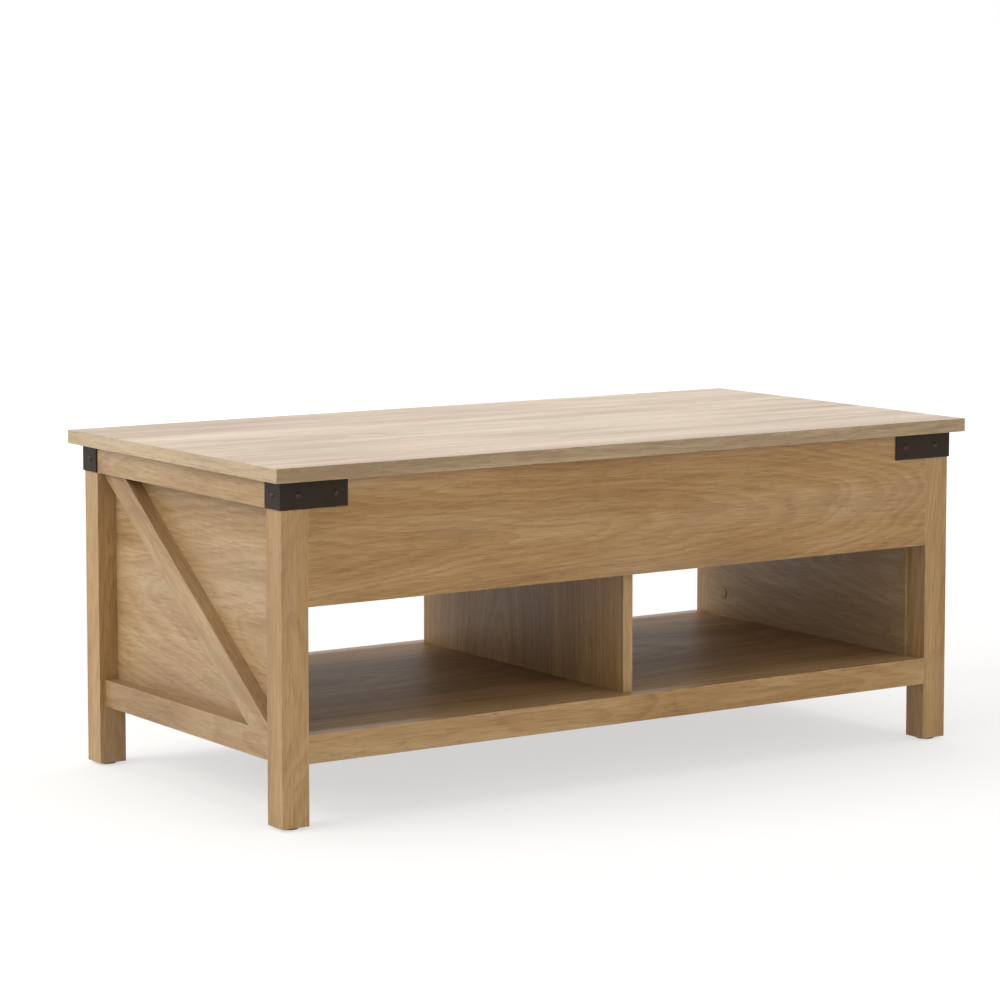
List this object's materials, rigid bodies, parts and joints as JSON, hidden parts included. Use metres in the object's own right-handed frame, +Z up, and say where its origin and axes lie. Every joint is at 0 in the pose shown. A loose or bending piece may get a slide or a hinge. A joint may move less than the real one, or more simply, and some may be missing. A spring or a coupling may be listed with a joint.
{
  "type": "lift top coffee table",
  "caption": "Farmhouse coffee table whose whole top lifts up and forward on parallel steel arms over hidden storage, with open shelf bays, end braces and dark corner brackets.",
  "frame": {"origin": "on the floor, under the centre of the table", "axes": "+X along the width, to the right seen from the front; -Y the front, where the top lifts towards; +Z up"},
  "size_m": [1.1, 0.556, 0.45],
  "materials": {
    "oak_top": "wood-grain laminate, satin",
    "oak_frame": "wood-grain laminate, satin",
    "oak_board": "wood-grain laminate, satin",
    "bracket_metal": "dark bronze powder coat, satin",
    "bracket_screw": "dark bronze, satin",
    "glide_plastic": "moulded, matt",
    "bumper_rubber": "soft, matt",
    "dowel_wood": "bare wood",
    "zinc_fitting": "zinc plated, satin",
    "mechanism_steel": "zinc plated sheet steel, satin",
    "rivet_steel": "bright steel",
    "spring_steel": "bright spring wire"
  },
  "bodies": {
    "case": {"leg_front_left": "oak_frame", "leg_front_right": "oak_frame", "leg_back_left": "oak_frame", "leg_back_right": "oak_frame", "front_apron": "oak_frame", "back_apron": "oak_frame", "end_panel_left": "oak_board", "end_panel_right": "oak_board", "end_top_rail_left": "oak_frame", "end_top_rail_right": "oak_frame", "end_bottom_rail_left": "oak_frame", "end_bottom_rail_right": "oak_frame", "diagonal_brace_left": "oak_frame", "diagonal_brace_right": "oak_frame", "storage_floor": "oak_board", "shelf_panel": "oak_board", "shelf_front_rail": "oak_frame", "shelf_back_rail": "oak_frame", "center_divider": "oak_board", "bracket_front_left": "bracket_metal", "bracket_front_right": "bracket_metal", "bracket_back_left": "bracket_metal", "bracket_back_right": "bracket_metal", "bracket_screws": "bracket_screw", "floor_glides": "glide_plastic", "lid_bumpers": "bumper_rubber", "frame_dowels": "dowel_wood", "cam_bolts": "zinc_fitting", "cam_locks": "zinc_fitting", "divider_screws": "zinc_fitting", "lift_base_left": "mechanism_steel", "lift_base_right": "mechanism_steel", "lift_base_rivets": "rivet_steel", "lift_base_screws": "zinc_fitting", "lift_spring_left": "spring_steel", "lift_spring_right": "spring_steel"},
    "front_arm_left": {"front_arm_left": "mechanism_steel", "spring_pin_left": "rivet_steel"},
    "front_arm_right": {"front_arm_right": "mechanism_steel", "spring_pin_right": "rivet_steel"},
    "rear_arm_left": {"rear_arm_left": "mechanism_steel"},
    "rear_arm_right": {"rear_arm_right": "mechanism_steel"},
    "top": {"top_panel": "oak_top", "top_rail_left": "mechanism_steel", "top_rail_right": "mechanism_steel", "top_rivets": "rivet_steel", "top_rail_screws": "zinc_fitting"}
  },
  "joints": [
    {"name": "lift_front_left", "type": "hinge", "parent": "case", "child": "front_arm_left", "pos_m": [-0.4795, -0.19, 0.39709], "axis": [1, 0, 0], "range_deg": [0, 112], "deforming": ["lift_spring_left"]},
    {"name": "lift_front_right", "type": "hinge", "parent": "case", "child": "front_arm_right", "pos_m": [0.4795, -0.19, 0.39709], "axis": [1, 0, 0], "range_deg": [0, 112], "deforming": ["lift_spring_right"]},
    {"name": "lift_rear_left", "type": "hinge", "parent": "case", "child": "rear_arm_left", "pos_m": [-0.487, -0.1, 0.39709], "axis": [1, 0, 0], "range_deg": [0, 112]},
    {"name": "lift_rear_right", "type": "hinge", "parent": "case", "child": "rear_arm_right", "pos_m": [0.487, -0.1, 0.39709], "axis": [1, 0, 0], "range_deg": [0, 112]},
    {"name": "top_level", "type": "hinge", "parent": "front_arm_left", "child": "top", "pos_m": [-0.4795, 0.0089, 0.418], "axis": [1, 0, 0], "range_deg": [-112, 0]}
  ],
  "couplings": [
    {"joint": "lift_front_right", "follows": "lift_front_left", "ratio": 1},
    {"joint": "lift_rear_left", "follows": "lift_front_left", "ratio": 1},
    {"joint": "lift_rear_right", "follows": "lift_front_left", "ratio": 1},
    {"joint": "top_level", "follows": "lift_front_left", "ratio": -1}
  ]
}
